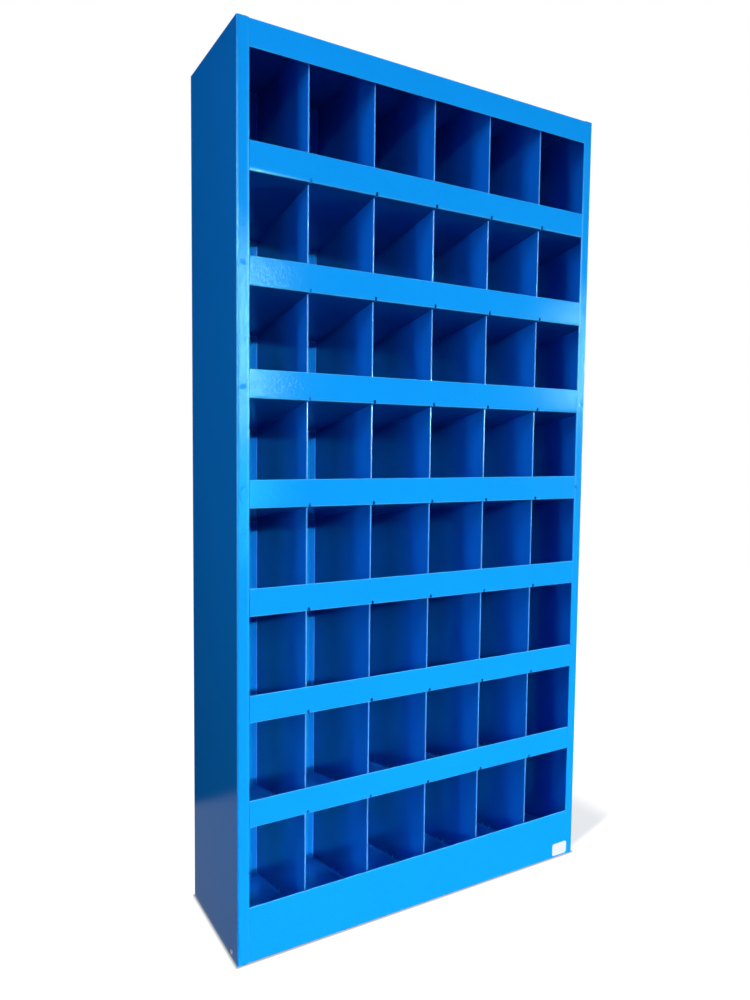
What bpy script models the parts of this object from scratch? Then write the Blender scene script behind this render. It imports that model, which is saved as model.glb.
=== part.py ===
"""Bolt bin shelf: a free-standing sheet-steel unit of 48 open bins with sloping shelves.

Units are metres, +Z is up, the open front faces -Y, and the origin is at the middle of the footprint.
"""
import bmesh
import bpy
from math import acos, atan2, cos, hypot, sin, tan
from mathutils import Matrix

# Overall size
WIDTH = 0.900
DEPTH = 0.283
HEIGHT = 1.818

# Sheet metal
SHEET = 0.001
BEND_RADIUS = 0.0025
INNER_BEND_RADIUS = 0.0015
HEM_RADIUS = 0.0013
HEM_LENGTH = 0.010
FIT = 0.0003
BEND_STEPS = 3

# Front frame
STILE_WIDTH = 0.025
FASCIA_HEIGHT = 0.052
PLINTH_HEIGHT = 0.1145
PLINTH_FOOT = 0.025
SIDE_REAR_FLANGE = 0.020

# Shelves: heights are those of the front bend, where the underside meets the lip
ROWS = 8
BOTTOM_SHELF_HEIGHT = 0.060
LOW_SHELF_HEIGHT = 0.2777
TOP_OPENING = 0.1667
SHELF_DROP = 0.052
LIP_HEIGHT = 0.055
LIP_SEAM = 0.0005
SHELF_REAR_FLANGE = 0.010
BOTTOM_FLANGE_HEIGHT = 0.050
EAR_CLEARANCE = 0.004
EAR_INSET = 0.001
EAR_HEIGHT = 0.045

# Dividers
COLUMNS = 6
END_BIN_MARGIN = 0.003
DIVIDER_SETBACK = 0.012
DIVIDER_HEM_RADIUS = 0.0016
DIVIDER_REAR_FLANGE = 0.012
NOTCH_RISE = 0.007
TAB_PLAY = 0.0006
MIDDLE_TAB_DEPTH = 0.157
MIDDLE_TAB_LENGTH = 0.024
RELIEF_WIDTH = 0.002
RELIEF_HEIGHT = 0.010

# Paint
PANEL_BLUE = (0.006, 0.270, 0.870, 1.0)
SHELF_BLUE = (0.006, 0.290, 0.900, 1.0)
DIVIDER_BLUE = (0.010, 0.250, 0.820, 1.0)
PAINT_ROUGHNESS = 0.28

# Sizes that follow from the ones above
TOP_SHELF_HEIGHT = HEIGHT - FASCIA_HEIGHT - TOP_OPENING - LIP_HEIGHT
SHELF_PITCH = (TOP_SHELF_HEIGHT - LOW_SHELF_HEIGHT) / (ROWS - 2)
DIVIDER_PITCH = (WIDTH - 2 * END_BIN_MARGIN) / COLUMNS
HEM = 2 * HEM_RADIUS
DIVIDER_HEM = 2 * DIVIDER_HEM_RADIUS
BACK_FACE = DEPTH - 2 * SHEET - FIT
FLANGE_REAR = BACK_FACE - FIT
FLANGE_FRONT = FLANGE_REAR - SHEET
SLOPE = SHELF_DROP / FLANGE_FRONT
FLOOR_THICKNESS = SHEET * hypot(1, SLOPE)
BEHIND_STILE = HEM + FIT
FLOOR_FRONT = BEHIND_STILE + SHEET / 2
INSIDE_WIDTH = WIDTH - 2 * SHEET - 2 * FIT
BACK_WIDTH = WIDTH - 2 * BEND_RADIUS - 2 * FIT
OPENING_HALF = WIDTH / 2 - STILE_WIDTH
SLOT_HALF = DIVIDER_HEM / 2 + TAB_PLAY
WEB_OFFSET = DIVIDER_HEM_RADIUS - SHEET / 2
MIDDLE_SLOT_HALF = SHEET / 2 + TAB_PLAY
FRONT_TAB_END = DIVIDER_SETBACK + HEM_LENGTH
REACH = 0.010


def clear_scene():
    for old in list(bpy.data.objects):
        bpy.data.objects.remove(old, do_unlink=True)


def new_collection(name):
    collection = bpy.data.collections.new(name)
    bpy.context.scene.collection.children.link(collection)
    return collection


def powder_coat(name, colour):
    paint = bpy.data.materials.new(name)
    paint.use_nodes = True
    shader = paint.node_tree.nodes["Principled BSDF"]
    shader.inputs["Base Color"].default_value = colour
    shader.inputs["Roughness"].default_value = PAINT_ROUGHNESS
    shader.inputs["Metallic"].default_value = 0.0
    return paint


def filleted(corners):
    """Points of a folded profile: each corner is (a, b, radius), and a radius of 0 keeps it sharp."""
    points = []
    for before, corner, after in zip([None] + corners[:-1], corners, corners[1:] + [None]):
        a, b, radius = corner
        if radius == 0:
            points.append((a, b))
            continue
        to_before = atan2(before[1] - b, before[0] - a)
        to_after = atan2(after[1] - b, after[0] - a)
        opening = acos(cos(to_before - to_after))
        middle = atan2(sin(to_before) + sin(to_after), cos(to_before) + cos(to_after))
        reach = radius / sin(opening / 2)
        centre = (a + reach * cos(middle), b + reach * sin(middle))
        tangent = radius / tan(opening / 2)
        start = atan2(b + tangent * sin(to_before) - centre[1], a + tangent * cos(to_before) - centre[0])
        end = atan2(b + tangent * sin(to_after) - centre[1], a + tangent * cos(to_after) - centre[0])
        sweep = atan2(sin(end - start), cos(end - start))
        for step in range(BEND_STEPS + 1):
            angle = start + sweep * step / BEND_STEPS
            point = (centre[0] + radius * cos(angle), centre[1] + radius * sin(angle))
            if hypot(point[0] - points[-1][0], point[1] - points[-1][1]) > radius / 100:
                points.append(point)
    return points


def link_mesh(name, build, collection):
    """New object in a collection, with the mesh that a bmesh builder makes."""
    mesh = bpy.data.meshes.new(name)
    bm = bmesh.new()
    build(bm)
    bm.to_mesh(mesh)
    bm.free()
    made = bpy.data.objects.new(name, mesh)
    collection.objects.link(made)
    return made


def folded_sheet(name, points, run, collection, side):
    """Sheet whose one face follows a profile, swept along run, with its thickness on one side."""
    def build(bm):
        verts = [bm.verts.new(point) for point in points]
        edges = [bm.edges.new(pair) for pair in zip(verts[:-1], verts[1:])]
        swept = bmesh.ops.extrude_edge_only(bm, edges=edges)["geom"]
        moved = [item for item in swept if isinstance(item, bmesh.types.BMVert)]
        bmesh.ops.translate(bm, verts=moved, vec=run)
    sheet = link_mesh(name, build, collection)
    thickness = sheet.modifiers.new("thickness", "SOLIDIFY")
    thickness.thickness = SHEET
    thickness.offset = side
    thickness.use_even_offset = True
    return sheet


def across(corners, width):
    """Profile of (depth, height) corners as points on the left end of a sheet that runs along X."""
    return [(-width / 2, depth - DEPTH / 2, height) for depth, height in filleted(corners)]


def upright(corners, height):
    """Profile of (x, depth) corners as points at the lower end of a sheet that runs along Z."""
    return [(x, depth - DEPTH / 2, height) for x, depth in filleted(corners)]


def boxes(name, ranges, collection):
    """Boxes given as (x, depth, height) ranges, joined in one hidden cutter."""
    def build(bm):
        for (x0, x1), (d0, d1), (z0, z1) in ranges:
            size = Matrix.Diagonal((x1 - x0, d1 - d0, z1 - z0, 1))
            place = Matrix.Translation(((x0 + x1) / 2, (d0 + d1 - DEPTH) / 2, (z0 + z1) / 2))
            bmesh.ops.create_cube(bm, size=1, matrix=place @ size)
    cutter = link_mesh(name, build, collection)
    cutter.hide_render = True
    cutter.display_type = "WIRE"
    return cutter


def boolean(part, tool, operation):
    step = part.modifiers.new(tool.name, "BOOLEAN")
    step.object = tool
    step.operation = operation
    step.solver = "EXACT"
    step.use_self = True


def evaluated_mesh(part):
    """Mesh of a pattern with its modifiers applied; the pattern itself is removed."""
    bpy.context.view_layer.update()
    graph = bpy.context.evaluated_depsgraph_get()
    mesh = bpy.data.meshes.new_from_object(part.evaluated_get(graph))
    bpy.data.objects.remove(part, do_unlink=True)
    return mesh


def place(name, mesh, collection, paint, location=(0, 0, 0)):
    mesh.materials.clear()
    mesh.materials.append(paint)
    part = bpy.data.objects.new(name, mesh)
    part.location = location
    collection.objects.link(part)
    return part


def both_ends(x_range, depth_range, height_range):
    """The same box at the left and the right end of the unit."""
    low, high = x_range
    return [((low, high), depth_range, height_range), ((-high, -low), depth_range, height_range)]


def lean(mesh, top_too=True):
    """Shear a mesh that stands on height 0 to the slope of the shelves."""
    middle = max(vert.co.z for vert in mesh.vertices) / 2
    for vert in mesh.vertices:
        if top_too or vert.co.z < middle:
            vert.co.z -= SLOPE * (vert.co.y + DEPTH / 2)


def hemmed_edge(depth, height, leg):
    """Corners of a hem that folds back behind a front face, from the leg's free end to the face."""
    return [(depth + HEM, height + leg, 0), (depth + HEM, height, HEM_RADIUS), (depth, height, HEM_RADIUS)]


def side_panel(name, parts, cutters, paint, sign):
    """Web with a hemmed front stile and a rear flange; the hem stops at the fascia and the plinth."""
    edge = WIDTH / 2 - STILE_WIDTH
    corners = [(sign * (edge + HEM_LENGTH), HEM, 0),
               (sign * edge, HEM, HEM_RADIUS),
               (sign * edge, 0, HEM_RADIUS),
               (sign * WIDTH / 2, 0, BEND_RADIUS),
               (sign * WIDTH / 2, DEPTH, BEND_RADIUS),
               (sign * (WIDTH / 2 - SIDE_REAR_FLANGE), DEPTH, 0)]
    panel = folded_sheet(name, upright(corners, 0), (0, 0, HEIGHT), parts, sign)
    zones = ((-REACH, PLINTH_HEIGHT + FIT), (HEIGHT - FASCIA_HEIGHT - FIT, HEIGHT + REACH))
    leg = sorted((sign * (edge - REACH), sign * (edge + HEM_LENGTH + REACH / 2)))
    nose = sorted((sign * (edge - REACH), sign * (edge + HEM_RADIUS)))
    ranges = []
    for zone in zones:
        ranges.append((leg, (HEM_RADIUS, HEM + REACH), zone))
        ranges.append((nose, (-REACH, HEM_RADIUS + REACH), zone))
    boolean(panel, boxes(name + "_hem_ends", ranges, cutters), "DIFFERENCE")
    return place(name, evaluated_mesh(panel), parts, paint)


def back_panel(parts, paint):
    front = BACK_FACE - DEPTH / 2
    start = [(-BACK_WIDTH / 2, front, 0), (BACK_WIDTH / 2, front, 0)]
    sheet = folded_sheet("back_panel", start, (0, 0, HEIGHT), parts, 1)
    return place("back_panel", evaluated_mesh(sheet), parts, paint)


def top_panel(parts, cutters, paint):
    """Top sheet with a hemmed fascia between the stiles, ears behind them and a rear flange."""
    lower = HEIGHT - FASCIA_HEIGHT
    corners = hemmed_edge(0, lower, HEM_LENGTH)
    corners += [(0, HEIGHT, BEND_RADIUS),
                (FLANGE_REAR, HEIGHT, BEND_RADIUS),
                (FLANGE_REAR, HEIGHT - SHELF_REAR_FLANGE, 0)]
    panel = folded_sheet("top_panel", across(corners, INSIDE_WIDTH), (INSIDE_WIDTH, 0, 0), parts, -1)
    seam = OPENING_HALF + HEM_RADIUS - FIT
    corner = both_ends((seam, WIDTH), (-REACH, FLOOR_FRONT), (lower - REACH, HEIGHT + REACH))
    ear = both_ends((OPENING_HALF + EAR_CLEARANCE, INSIDE_WIDTH / 2 - EAR_INSET),
                    (BEHIND_STILE, BEHIND_STILE + SHEET),
                    (HEIGHT - EAR_HEIGHT, HEIGHT - SHEET / 2))
    boolean(panel, boxes("top_corners", corner, cutters), "DIFFERENCE")
    boolean(panel, boxes("top_ears", ear, cutters), "UNION")
    return place("top_panel", evaluated_mesh(panel), parts, paint)


def plinth(parts, paint):
    """Kick face between the stiles with a hemmed top and a foot flange on the floor."""
    width = 2 * (OPENING_HALF + HEM_RADIUS - FIT)
    corners = hemmed_edge(0, PLINTH_HEIGHT, -HEM_LENGTH)
    corners += [(0, 0, BEND_RADIUS), (PLINTH_FOOT, 0, 0)]
    sheet = folded_sheet("plinth", across(corners, width), (width, 0, 0), parts, 1)
    return place("plinth", evaluated_mesh(sheet), parts, paint)


def divider_positions():
    return [DIVIDER_PITCH * (column - COLUMNS / 2) for column in range(1, COLUMNS)]


def divider_slots(with_notch):
    """Cut-outs of one shelf for the tabs of the dividers that stand on it."""
    ranges = []
    half_tab = MIDDLE_TAB_LENGTH / 2 + TAB_PLAY
    for x in divider_positions():
        notch_front = -REACH if with_notch else BEHIND_STILE + SHEET + FIT
        ranges.append(((x - SLOT_HALF, x + SLOT_HALF),
                       (notch_front, FRONT_TAB_END + TAB_PLAY),
                       (-REACH, NOTCH_RISE)))
        ranges.append(((x - WEB_OFFSET - MIDDLE_SLOT_HALF, x - WEB_OFFSET + MIDDLE_SLOT_HALF),
                       (MIDDLE_TAB_DEPTH - half_tab, MIDDLE_TAB_DEPTH + half_tab),
                       (-SHELF_DROP - REACH, REACH)))
    return ranges


def lipped_shelf_mesh(parts, cutters):
    """One of the seven like shelves, with its front bend at height 0."""
    corners = hemmed_edge(0, LIP_HEIGHT, -HEM_LENGTH)
    corners += [(0, 0, BEND_RADIUS),
                (FLANGE_FRONT, -SHELF_DROP, INNER_BEND_RADIUS),
                (FLANGE_FRONT, -SHELF_DROP - SHELF_REAR_FLANGE, 0)]
    shelf = folded_sheet("shelf", across(corners, INSIDE_WIDTH), (INSIDE_WIDTH, 0, 0), parts, 1)
    corner = both_ends((OPENING_HALF - LIP_SEAM, WIDTH), (-REACH, FLOOR_FRONT), (-REACH, LIP_HEIGHT + REACH))
    ear = both_ends((OPENING_HALF + EAR_CLEARANCE, INSIDE_WIDTH / 2 - EAR_INSET),
                    (BEHIND_STILE, BEHIND_STILE + SHEET),
                    (-SLOPE * BEHIND_STILE + SHEET / 4, EAR_HEIGHT))
    boolean(shelf, boxes("lip_corners", corner, cutters), "DIFFERENCE")
    boolean(shelf, boxes("shelf_ears", ear, cutters), "UNION")
    boolean(shelf, boxes("shelf_slots", divider_slots(True), cutters), "DIFFERENCE")
    return evaluated_mesh(shelf)


def bottom_shelf_mesh(parts, cutters):
    """The floor of the lowest row: its front flange stands behind the plinth and the stiles."""
    front = BEHIND_STILE
    rise = -SLOPE * front
    rear_foot = FIT - BOTTOM_SHELF_HEIGHT
    corners = [(front, rise + BOTTOM_FLANGE_HEIGHT, 0),
               (front, rise, BEND_RADIUS),
               (FLANGE_FRONT, -SHELF_DROP, INNER_BEND_RADIUS),
               (FLANGE_FRONT, rear_foot, 0)]
    shelf = folded_sheet("bottom", across(corners, INSIDE_WIDTH), (INSIDE_WIDTH, 0, 0), parts, 1)
    boolean(shelf, boxes("bottom_slots", divider_slots(False), cutters), "DIFFERENCE")
    return evaluated_mesh(shelf)


def divider_mesh(name, height, sloped_top, parts, cutters):
    """Upright sheet between two shelves, from the underside of the lower one up to a given height."""
    web = -DIVIDER_HEM_RADIUS
    corners = [(web + DIVIDER_HEM, FRONT_TAB_END, 0),
               (web + DIVIDER_HEM, DIVIDER_SETBACK, DIVIDER_HEM_RADIUS),
               (web, DIVIDER_SETBACK, DIVIDER_HEM_RADIUS),
               (web, FLANGE_FRONT, INNER_BEND_RADIUS),
               (web - DIVIDER_REAR_FLANGE, FLANGE_FRONT, 0)]
    sheet = folded_sheet(name + "_sheet", upright(corners, 0), (0, 0, height), parts, -1)
    mesh = evaluated_mesh(sheet)
    lean(mesh, sloped_top)
    flange_above = height - SHELF_REAR_FLANGE
    if not sloped_top:
        flange_above += SHEET + SHELF_DROP
    corner_start = FLANGE_FRONT - INNER_BEND_RADIUS - FIT
    seat = FLOOR_THICKNESS + FIT
    half_tab = MIDDLE_TAB_LENGTH / 2
    tab_start, tab_end = MIDDLE_TAB_DEPTH - half_tab, MIDDLE_TAB_DEPTH + half_tab
    sides = (web - DIVIDER_REAR_FLANGE - REACH, web + DIVIDER_HEM + REACH)
    trim = [(sides, (FRONT_TAB_END - HEM_LENGTH / 4, tab_start), (-REACH, seat)),
            (sides, (tab_end, DEPTH), (-REACH, seat)),
            (sides, (tab_start - RELIEF_WIDTH, tab_start), (-REACH, seat + RELIEF_HEIGHT)),
            (sides, (tab_end, tab_end + RELIEF_WIDTH), (-REACH, seat + RELIEF_HEIGHT)),
            (sides, (corner_start, DEPTH), (flange_above, flange_above + SHELF_DROP))]
    cutter = boxes(name + "_tabs", trim, cutters)
    lean(cutter.data)
    divider = bpy.data.objects.new(name, mesh)
    parts.objects.link(divider)
    boolean(divider, cutter, "DIFFERENCE")
    return evaluated_mesh(divider)


def shelf_heights():
    """Front bend heights of the lipped shelves, from the top one down."""
    return [LOW_SHELF_HEIGHT + SHELF_PITCH * step for step in reversed(range(ROWS - 1))]


def build():
    clear_scene()
    parts = new_collection("bolt_bin_shelf")
    cutters = new_collection("cutters")
    panel_paint = powder_coat("panel_paint", PANEL_BLUE)
    shelf_paint = powder_coat("shelf_paint", SHELF_BLUE)
    divider_paint = powder_coat("divider_paint", DIVIDER_BLUE)

    side_panel("left_side_panel", parts, cutters, panel_paint, -1)
    side_panel("right_side_panel", parts, cutters, panel_paint, 1)
    back_panel(parts, panel_paint)
    top_panel(parts, cutters, panel_paint)
    plinth(parts, panel_paint)

    bends = shelf_heights() + [BOTTOM_SHELF_HEIGHT]
    shelf = lipped_shelf_mesh(parts, cutters)
    for number, bend in enumerate(bends[:-1], start=1):
        place(f"shelf_{number}", shelf, parts, shelf_paint, (0, 0, bend))
    place("bottom_shelf", bottom_shelf_mesh(parts, cutters), parts, shelf_paint, (0, 0, bends[-1]))

    top_height = HEIGHT - SHEET - FIT - bends[0]
    bottom_height = bends[-2] - bends[-1] - FIT
    top_divider = divider_mesh("top_divider", top_height, False, parts, cutters)
    middle_divider = divider_mesh("middle_divider", SHELF_PITCH - FIT, True, parts, cutters)
    bottom_divider = divider_mesh("bottom_divider", bottom_height, True, parts, cutters)
    meshes = [top_divider] + [middle_divider] * (ROWS - 2) + [bottom_divider]
    for row, (mesh, bend) in enumerate(zip(meshes, bends), start=1):
        for column, x in enumerate(divider_positions(), start=1):
            place(f"divider_r{row}c{column}", mesh, parts, divider_paint, (x, 0, bend))


build()
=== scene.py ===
"""Looks of the bolt bin shelf: folded, powder-coated sheets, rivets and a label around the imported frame."""
from math import atan, exp, hypot, pi, radians

import bmesh
import bpy
from mathutils import Matrix, Vector


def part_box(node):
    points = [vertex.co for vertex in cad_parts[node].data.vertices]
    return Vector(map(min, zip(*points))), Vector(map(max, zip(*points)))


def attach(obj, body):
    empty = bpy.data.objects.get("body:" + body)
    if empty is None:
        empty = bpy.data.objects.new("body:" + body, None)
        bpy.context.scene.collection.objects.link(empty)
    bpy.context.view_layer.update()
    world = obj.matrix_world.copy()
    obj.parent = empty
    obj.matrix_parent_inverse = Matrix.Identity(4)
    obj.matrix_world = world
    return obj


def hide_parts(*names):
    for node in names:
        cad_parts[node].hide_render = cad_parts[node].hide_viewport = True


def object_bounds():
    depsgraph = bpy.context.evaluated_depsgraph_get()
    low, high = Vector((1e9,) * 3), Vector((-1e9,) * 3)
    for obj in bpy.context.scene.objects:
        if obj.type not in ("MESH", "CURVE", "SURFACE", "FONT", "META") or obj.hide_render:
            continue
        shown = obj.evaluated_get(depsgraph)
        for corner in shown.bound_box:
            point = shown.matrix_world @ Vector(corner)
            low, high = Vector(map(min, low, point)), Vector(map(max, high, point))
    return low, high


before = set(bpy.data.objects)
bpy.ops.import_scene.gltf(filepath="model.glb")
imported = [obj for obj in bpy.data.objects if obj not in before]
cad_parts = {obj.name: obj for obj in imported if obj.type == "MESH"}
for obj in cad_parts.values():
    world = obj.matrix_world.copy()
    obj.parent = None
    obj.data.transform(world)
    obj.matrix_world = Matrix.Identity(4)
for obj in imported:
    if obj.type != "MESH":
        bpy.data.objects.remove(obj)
cad_low, cad_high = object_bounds()

# Folded sheet, in metres
SHEET = 0.001
FIT = 0.0003
FOLD_RADIUS = 0.0025
STILE_BEND = 0.004
BEND_INSIDE = 0.0015
FOLD_STEPS = 4
HEM = 0.0026
HEM_LEG = 0.010
TINY = 0.00002

# Front frame
FRONT, REAR = cad_low.y, cad_high.y
HALF_WIDTH, TOP = cad_high.x, cad_high.z
STILE = 0.025
SIDE_REAR_FLANGE = 0.020
OPENING_HALF = HALF_WIDTH - STILE
BEHIND_STILE = FRONT + HEM + FIT
PLINTH_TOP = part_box("plinth")[1].z
PLINTH_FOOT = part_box("plinth")[1].y
FASCIA_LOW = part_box("top_panel")[0].z
BACK_CUTS = 12

# Shelves, each with a sloping floor and a turned-up lip
SHELVES = [f"shelf_{number}" for number in range(1, 8)]
LIP = 0.055
LIP_SEAM = 0.0005
SHELF_FLANGE = 0.010
SHELF_DROP = 0.052
BOTTOM_BEND = 0.060
EAR = 0.045
EAR_GAP = 0.004
EAR_INSET = 0.001
NOTCH_RISE = 0.007
SLIT_HALF = 0.0026
SLIT_DEPTH = 0.0045
FLANGE_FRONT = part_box("shelf_1")[1].y - SHEET
SLOPE = SHELF_DROP / (FLANGE_FRONT - FRONT)
BENDS = [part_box(shelf)[1].z - LIP for shelf in SHELVES] + [BOTTOM_BEND]

# Dividers, with a hemmed front, a rear flange and two tabs
DIVIDER_HEM = 0.0032
DIVIDER_FLANGE = 0.012
DIVIDER_SETBACK = 0.012
DIVIDER_FRONT = FRONT + DIVIDER_SETBACK
FRONT_TAB_END = DIVIDER_FRONT + HEM_LEG
MIDDLE_TAB_DEPTH = 0.157
TAB_MIDDLE = FRONT + MIDDLE_TAB_DEPTH
TAB_HALF = 0.012
TAB_PLAY = 0.0006
RELIEF_WIDTH = 0.002
RELIEF_HEIGHT = 0.010
WEB_OFFSET = DIVIDER_HEM / 2 - SHEET / 2
COLUMNS = [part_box(f"divider_r1c{column}")[1].x - DIVIDER_HEM / 2 for column in range(1, 6)]
BEAD = 0.0036
BURR = 0.0016
BURR_HEIGHT = 0.0090

# Spot-weld dents in the stiles: height over each shelf's bend, and depth
DENTS = ((0.030, 0.00015), (0.042, 0.0008), (0.020, 0.0010), (0.040, 0.0006), (0.028, 0.0002),
         (0.036, 0.0002), (0.024, 0.0002))
DENT_RADIUS = 0.0045
DENT_RADII_REACHED = 3
DENT_RIM = 0.55
DENT_SLICE = 0.0022
DENT_SLICES = 4

# Painted highlights on hems and folds, as the coats read them: 1 is paler, 2 is brighter, 3 is nearly white
PALE_HIGHLIGHT, BRIGHT_HIGHLIGHT = 1.0, 2.0
HIGHLIGHT_HEIGHT, HIGHLIGHT_SPAN_ABOVE, HIGHLIGHT_SPAN_BELOW = 1.42, 0.19, 0.46
STILE_HIGHLIGHT = 1.75
STILE_HEM_LEAST = 0.05
STILE_BEND_LEAST = 0.1
STILE_FACE_HIGHLIGHT = 0.7
STILE_FACE_STRIP = 0.0045
FASCIA_HIGHLIGHT = 0.8
REAR_FOLD_HIGHLIGHT = 1.5
DIVIDER_FOLD_HIGHLIGHT = 0.9
DIVIDER_FOOT_HIGHLIGHT = 3.3
LEFT_HIGHLIGHT_LENGTH = 0.01

# Rivet heads, as radius and height with half of it sunk in the sheet, and their places
SMALL_HEAD = (0.0032, 0.0011)
FOOT_HEAD = (0.0052, 0.0022)
BUTTON_HEAD = (0.0055, 0.0034)
BOSS_HEAD = (0.0052, 0.0030)
BOSS_STRETCH = (1.45, 2.9, 1.0, 1.0)
RIVET_SIDES = 28
MIDDLE_BEND = BENDS[3]
BOSS_INSET, BOSS_RISE = 0.0102, 0.0249
BUTTON_INSET, BUTTON_RISE = 0.0088, 0.0297
REAR_RIVET_RISE = 0.03455
FOOT_RIVET_DEPTH, FOOT_RIVET_HEIGHT = 0.035, 0.0116
TOP_RIVET_SHIFT, TOP_RIVET_DROP = 0.003, 0.02545

# Label on the right end of the plinth
LABEL_LOW, LABEL_HIGH = Vector((0.3835, 0, 0.0040)), Vector((0.4300, 0, 0.0350))
LABEL_CORNER = 0.0050
LABEL_THICKNESS = 0.0002

# Tones and finish that the blue coats share: the under blue is painted shade, the bare blue and worn steel
# are painted highlights
SCUFF_BLUE = (0.02, 0.40, 0.94)
UNDER_SHADE_BLUE = (0.0016, 0.098, 0.370)
HIGHLIGHT_BLUE = (0.24, 0.90, 1.0)
HIGHLIGHT_WHITE = (0.86, 0.93, 1.0)
DUST_GREY = (0.32, 0.38, 0.46)
COAT_SHEEN = (0.40, 1.0, 1.0, 1.0)
COAT_ROUGHNESS_DRIFT = 0.08
DUST_DULLING, SCUFF_DULLING = 0.5, 0.4
COAT_RELIEF, FILM_RELIEF = 0.0003, 0.0001
# Depths behind the front over which the painted shade in the bins grows
SHADE_DEPTH_START, SHADE_DEPTH_END = 0.06, 0.19

# Studio floor, its painted contact shadow and the painted soft shadow to the right
FLOOR_PAPER = (0.15, 0.15, 0.15)
FLOOR_CONTACT_SHADE = (0.10, 0.10, 0.10)
FLOOR_BOUNCE = (0.06, 0.06, 0.06)
FLOOR_SIZE = (40, 40)
FLOOR_DROP = 0.0002
CONTACT_REACH = 0.008
CONTACT_LIGHT = 0.35
SHADOW_SIDE = (-0.31, 0.95, 0.0)
SHADOW_REACH = 0.34
SHADOW_DEPTH = 0.37
SHADOW_START = 0.01
SHADOW_EDGE = (-0.004, 0.024)
SHADOW_FADE = (0.34, 0.62)
WORLD_LIGHT = 0.026

# Cloths and lamps
CLOTH_DARK, CLOTH_GREY = (0.003, 0.010, 0.020), (0.25, 0.25, 0.31)
CLOTH_LIFT = 0.0006
CLOTH_GAP = 0.01
WHITE, COOL, PALE_COOL = (1.0, 1.0, 1.0), (0.62, 0.70, 1.0), (0.60, 0.74, 1.0)
AQUA, PALE_AQUA = (0.2, 1.0, 1.0), (0.8, 1.0, 1.0)

# Camera at the photograph's viewpoint: sensor and lens in millimetres, tilt, roll and heading in degrees
SENSOR, LENS = 36.0, 27.53
CAMERA_PLACE = (-0.9545, FRONT - 1.3837, 1.0283)
CAMERA_TURN = (86.161, -0.625, -30.244)


# Hand modelling helpers

def start_sheet(name, centre, across, along, turn):
    """Add the first leg of a folded sheet as a plane and open it in edit mode."""
    bpy.ops.object.select_all(action="DESELECT")
    bpy.ops.mesh.primitive_plane_add(size=1, location=centre, rotation=turn)
    sheet = bpy.context.object
    sheet.name = name
    sheet.data.name = name
    sheet.scale = (across, along, 1)
    bpy.ops.object.transform_apply(location=True, rotation=True, scale=True)
    bpy.ops.object.mode_set(mode="EDIT")
    return sheet


def pick(kind, wanted):
    """Select the edges or faces whose middle passes a test."""
    bpy.ops.mesh.select_mode(type="EDGE" if kind == "edges" else "FACE")
    bpy.ops.mesh.select_all(action="DESELECT")
    mesh = bpy.context.object.data
    cage = bmesh.from_edit_mesh(mesh)
    for item in getattr(cage, kind):
        middle = sum((corner.co for corner in item.verts), Vector()) / len(item.verts)
        if wanted(middle, item):
            item.select_set(True)
    bmesh.update_edit_mesh(mesh)


def near(value, target):
    return abs(value - target) < TINY


def along_x(edge):
    run = edge.verts[1].co - edge.verts[0].co
    return abs(run.x) > hypot(run.y, run.z)


def fold(wanted, *legs):
    """Pull the free edges that pass a test out into one leg after another."""
    pick("edges", lambda middle, edge: edge.is_boundary and wanted(middle, edge))
    for leg in legs:
        bpy.ops.mesh.extrude_region_move(TRANSFORM_OT_translate={"value": leg})


def round_folds(radius, wanted):
    """Round the folds that pass a test."""
    pick("edges", lambda middle, edge: not edge.is_boundary and wanted(middle, edge))
    bpy.ops.mesh.bevel(offset=radius - TINY, segments=FOLD_STEPS, affect="EDGES")


def slice_at(point, normal):
    """Cut the whole sheet along a plane, with both halves kept."""
    bpy.ops.mesh.select_all(action="SELECT")
    bpy.ops.mesh.bisect(plane_co=point, plane_no=normal)


def slice_x(*places):
    for x in places:
        slice_at((x, 0, 0), (1, 0, 0))


def slice_y(*places):
    for y in places:
        slice_at((0, y, 0), (0, 1, 0))


def slice_z(*places):
    for z in places:
        slice_at((0, 0, z), (0, 0, 1))


def slice_slope(*heights):
    """Slices along the shelves' slope, each through a height at the front plane."""
    for z in heights:
        slice_at((0, FRONT, z), (0, SLOPE, 1))


def drop_faces(wanted):
    pick("faces", wanted)
    bpy.ops.mesh.delete(type="FACE")


def thicken(sheet):
    """Give the folded surface its sheet thickness and smooth its folds."""
    bpy.ops.mesh.select_all(action="SELECT")
    bpy.ops.mesh.remove_doubles(threshold=TINY / 4)
    bpy.ops.object.mode_set(mode="OBJECT")
    wall = sheet.modifiers.new("sheet", "SOLIDIFY")
    wall.thickness = SHEET
    wall.offset = 1
    wall.use_even_offset = True
    bpy.ops.object.modifier_apply(modifier=wall.name)
    bpy.ops.object.shade_smooth_by_angle(angle=radians(32))
    even = sheet.modifiers.new("flat_faces", "WEIGHTED_NORMAL")
    even.keep_sharp = True
    even.weight = 90
    bpy.ops.object.modifier_apply(modifier=even.name)


def mark_painted_highlights(piece, highlight_level):
    """Note on the mesh how strong a painted highlight each point gets, for the material."""
    layer = piece.data.attributes.new("painted_highlight", "FLOAT", "POINT")
    for corner, value in zip(piece.data.vertices, layer.data):
        value.value = highlight_level(corner.co)


def join_to(piece, *others):
    """Make other objects part of a piece."""
    bpy.ops.object.select_all(action="DESELECT")
    for other in others:
        other.select_set(True)
    piece.select_set(True)
    bpy.context.view_layer.objects.active = piece
    bpy.ops.object.join()


def dress(piece, paint, slot, *nodes):
    """Paint a finished piece and let it stand for its CAD node."""
    piece.data.materials.clear()
    piece.data.materials.append(paint)
    if nodes:
        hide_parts(*nodes)
    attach(piece, "root")
    return piece


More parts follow.
